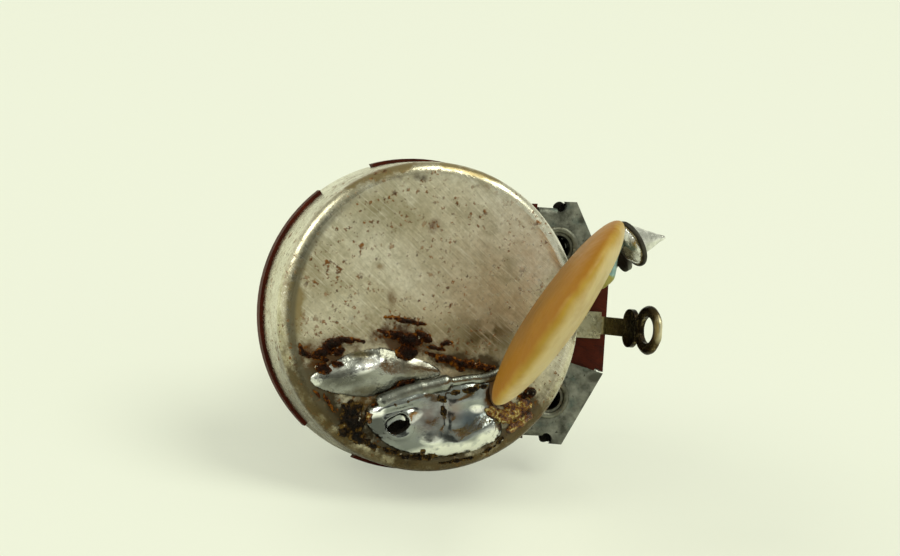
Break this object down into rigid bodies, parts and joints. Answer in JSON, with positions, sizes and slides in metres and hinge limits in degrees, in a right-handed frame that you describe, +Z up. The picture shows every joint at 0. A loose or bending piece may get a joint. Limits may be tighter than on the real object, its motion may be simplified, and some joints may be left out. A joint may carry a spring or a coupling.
{
  "type": "rotary potentiometer",
  "caption": "Rotary potentiometer in a round steel can with solder lugs, threaded bushing and shaft, and a disc capacitor soldered from a lug to the can.",
  "frame": {"origin": "on the shaft's axis at the front face of the bushing's shoulder, which seats against the panel", "axes": "+Y along the shaft, out of the bushing; +X toward the solder lugs; +Z up, on the side of the lug that carries the capacitor"},
  "size_m": [0.0304, 0.0493, 0.0242],
  "materials": {
    "can_steel": "cadmium-plated drawn steel, scratched and lightly rusted",
    "phenolic": "dark red-brown paper phenolic",
    "carbon_film": "matt black carbon film",
    "plated_brass": "silver-plated brass sheet, tarnished",
    "plate_steel": "plated steel",
    "nickel_brass": "plated turned brass",
    "shaft_brass": "plated turned brass",
    "spring_bronze": "spring bronze",
    "moulding": "dark moulded phenolic",
    "resin_coating": "satin tan resin over a ceramic disc",
    "tinned_wire": "tinned copper wire",
    "solder": "bright tin-lead solder"
  },
  "bodies": {
    "housing": {"can": "can_steel", "wafer": "phenolic", "resistive_track": "carbon_film", "collector_ring": "plated_brass", "terminal_1": "plated_brass", "terminal_2": "plated_brass", "terminal_3": "plated_brass", "eyelet_1": "plated_brass", "eyelet_2": "plated_brass", "eyelet_3": "plated_brass", "front_plate": "plate_steel", "bushing": "nickel_brass", "capacitor": "resin_coating", "capacitor_lead_1": "tinned_wire", "capacitor_lead_2": "tinned_wire", "lug_solder": "solder", "fresh_solder": "solder", "old_solder": "solder"},
    "shaft_group": {"shaft": "shaft_brass", "retaining_ring": "spring_bronze", "rotor": "moulding", "wiper_spring": "spring_bronze"}
  },
  "joints": [
    {"name": "shaft_turn", "type": "hinge", "parent": "housing", "child": "shaft_group", "pos_m": [0, 0, 0], "axis": [0, 1, 0], "range_deg": [-150, 150]}
  ]
}
